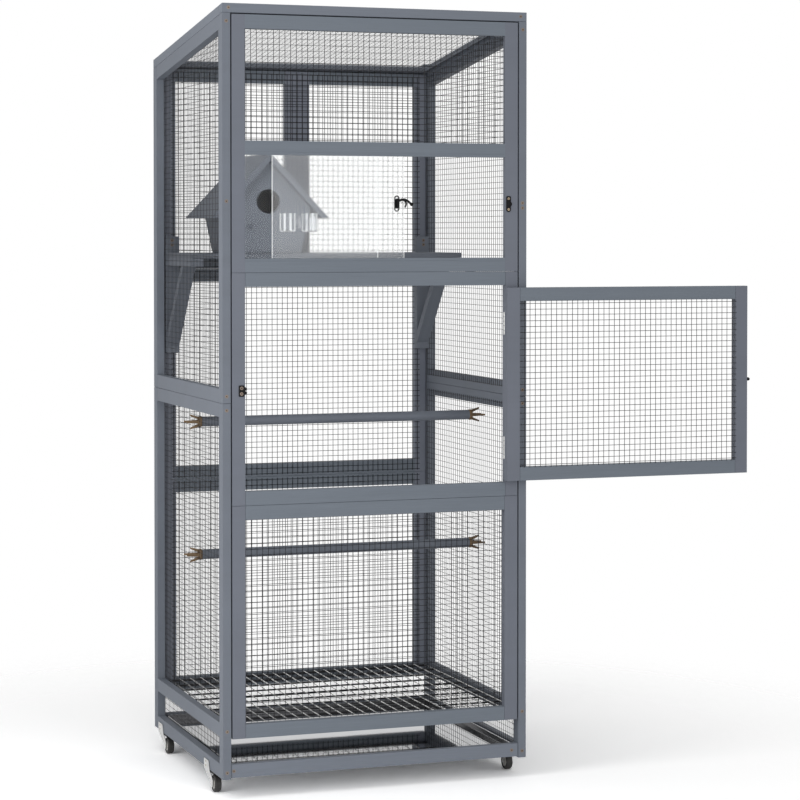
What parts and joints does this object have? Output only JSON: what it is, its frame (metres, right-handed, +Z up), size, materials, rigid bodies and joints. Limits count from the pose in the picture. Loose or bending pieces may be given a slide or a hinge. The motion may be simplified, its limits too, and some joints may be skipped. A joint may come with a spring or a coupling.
{
  "type": "wooden bird cage",
  "caption": "Tall wooden bird cage on wheels with wire cloth, a swung door, a sliding clear window, shelf, birdhouse, perches, grate and pull-out tray.",
  "frame": {"origin": "on the floor, at the middle of the space that the cage takes with its door swung right round", "axes": "+Z up, front of the cage faces -Y, +X to the right seen from the front"},
  "size_m": [1.2552, 0.639, 1.694],
  "materials": {
    "grey_wood": "matt blue-grey stain over planed softwood",
    "dark_wire": "black coated welded wire",
    "clear_sheet": "clear smooth sheet",
    "black_metal": "black coated metal",
    "zinc": "bright zinc plate",
    "bright_steel": "bright plated sheet and wire",
    "black_rubber": "black rubber"
  },
  "bodies": {
    "cage": {"left_lower_frame": "grey_wood", "left_upper_frame": "grey_wood", "right_lower_frame": "grey_wood", "right_upper_frame": "grey_wood", "back_lower_frame": "grey_wood", "back_middle_frame": "grey_wood", "back_upper_left_frame": "grey_wood", "back_upper_right_frame": "grey_wood", "back_sill": "grey_wood", "roof_frame": "grey_wood", "front_lower_frame": "grey_wood", "front_middle_frame": "grey_wood", "front_upper_frame": "grey_wood", "left_tray_runner": "grey_wood", "right_tray_runner": "grey_wood", "shelf_board": "grey_wood", "shelf_bracket_left": "grey_wood", "shelf_bracket_right": "grey_wood", "house_walls": "grey_wood", "house_roof_left": "grey_wood", "house_roof_right": "grey_wood", "house_peg": "grey_wood", "left_lower_cloth": "dark_wire", "left_upper_cloth": "dark_wire", "right_lower_cloth": "dark_wire", "right_upper_cloth": "dark_wire", "back_lower_cloth": "dark_wire", "back_middle_cloth": "dark_wire", "back_upper_cloth": "dark_wire", "front_lower_cloth": "dark_wire", "front_upper_cloth": "dark_wire", "roof_cloth": "dark_wire", "lower_hinge_post_leaf": "zinc", "upper_hinge_post_leaf": "zinc", "window_keeper": "black_metal", "door_keeper": "black_metal", "lower_perch": "grey_wood", "upper_perch": "grey_wood", "floor_grate": "bright_steel", "front_left_caster_arm": "zinc", "front_right_caster_arm": "zinc", "back_left_caster_arm": "zinc", "back_right_caster_arm": "zinc"},
    "door": {"door_frame": "grey_wood", "door_cloth": "dark_wire", "lower_hinge_door_leaf": "zinc", "upper_hinge_door_leaf": "zinc", "door_latch_plate": "black_metal"},
    "door_lever": {"door_latch_lever": "black_metal"},
    "rear_sheet": {"rear_window_sheet": "clear_sheet", "feeder_cups": "clear_sheet"},
    "front_sheet": {"front_window_sheet": "clear_sheet", "window_latch_plate": "black_metal"},
    "window_lever": {"window_latch_lever": "black_metal"},
    "tray": {"tray_front": "grey_wood", "tray_pan": "bright_steel"},
    "front_left_wheel": {"front_left_wheel": "black_rubber"},
    "front_right_wheel": {"front_right_wheel": "black_rubber"},
    "back_left_wheel": {"back_left_wheel": "black_rubber"},
    "back_right_wheel": {"back_right_wheel": "black_rubber"}
  },
  "joints": [
    {"name": "door_hinge", "type": "hinge", "parent": "cage", "child": "door", "pos_m": [0.02325, -0.2945, 0.874], "axis": [0, 0, 1], "range_deg": [-180, 0]},
    {"name": "door_lever_pivot", "type": "hinge", "parent": "door", "child": "door_lever", "pos_m": [0.5927, -0.292, 0.876], "axis": [0, 0, 1], "range_deg": [0, 100]},
    {"name": "rear_sheet_slide", "type": "slide", "parent": "cage", "child": "rear_sheet", "axis": [1, 0, 0], "range_m": [0, 0.2934]},
    {"name": "front_sheet_slide", "type": "slide", "parent": "cage", "child": "front_sheet", "axis": [1, 0, 0], "range_m": [-0.0582, 0.2352]},
    {"name": "window_lever_pivot", "type": "hinge", "parent": "front_sheet", "child": "window_lever", "pos_m": [-0.2264, -0.297, 1.2716], "axis": [0, 0, 1], "range_deg": [-100, 0]},
    {"name": "tray_slide", "type": "slide", "parent": "cage", "child": "tray", "axis": [0, -1, 0], "range_m": [0, 0.55]},
    {"name": "front_left_wheel_spin", "type": "hinge", "parent": "cage", "child": "front_left_wheel", "pos_m": [-0.6095, -0.2005, 0.0185], "axis": [1, 0, 0], "continuous": true},
    {"name": "front_right_wheel_spin", "type": "hinge", "parent": "cage", "child": "front_right_wheel", "pos_m": [0.0671, -0.2005, 0.0185], "axis": [1, 0, 0], "continuous": true},
    {"name": "back_left_wheel_spin", "type": "hinge", "parent": "cage", "child": "back_left_wheel", "pos_m": [-0.6095, 0.2145, 0.0185], "axis": [1, 0, 0], "continuous": true},
    {"name": "back_right_wheel_spin", "type": "hinge", "parent": "cage", "child": "back_right_wheel", "pos_m": [0.0671, 0.2145, 0.0185], "axis": [1, 0, 0], "continuous": true}
  ]
}
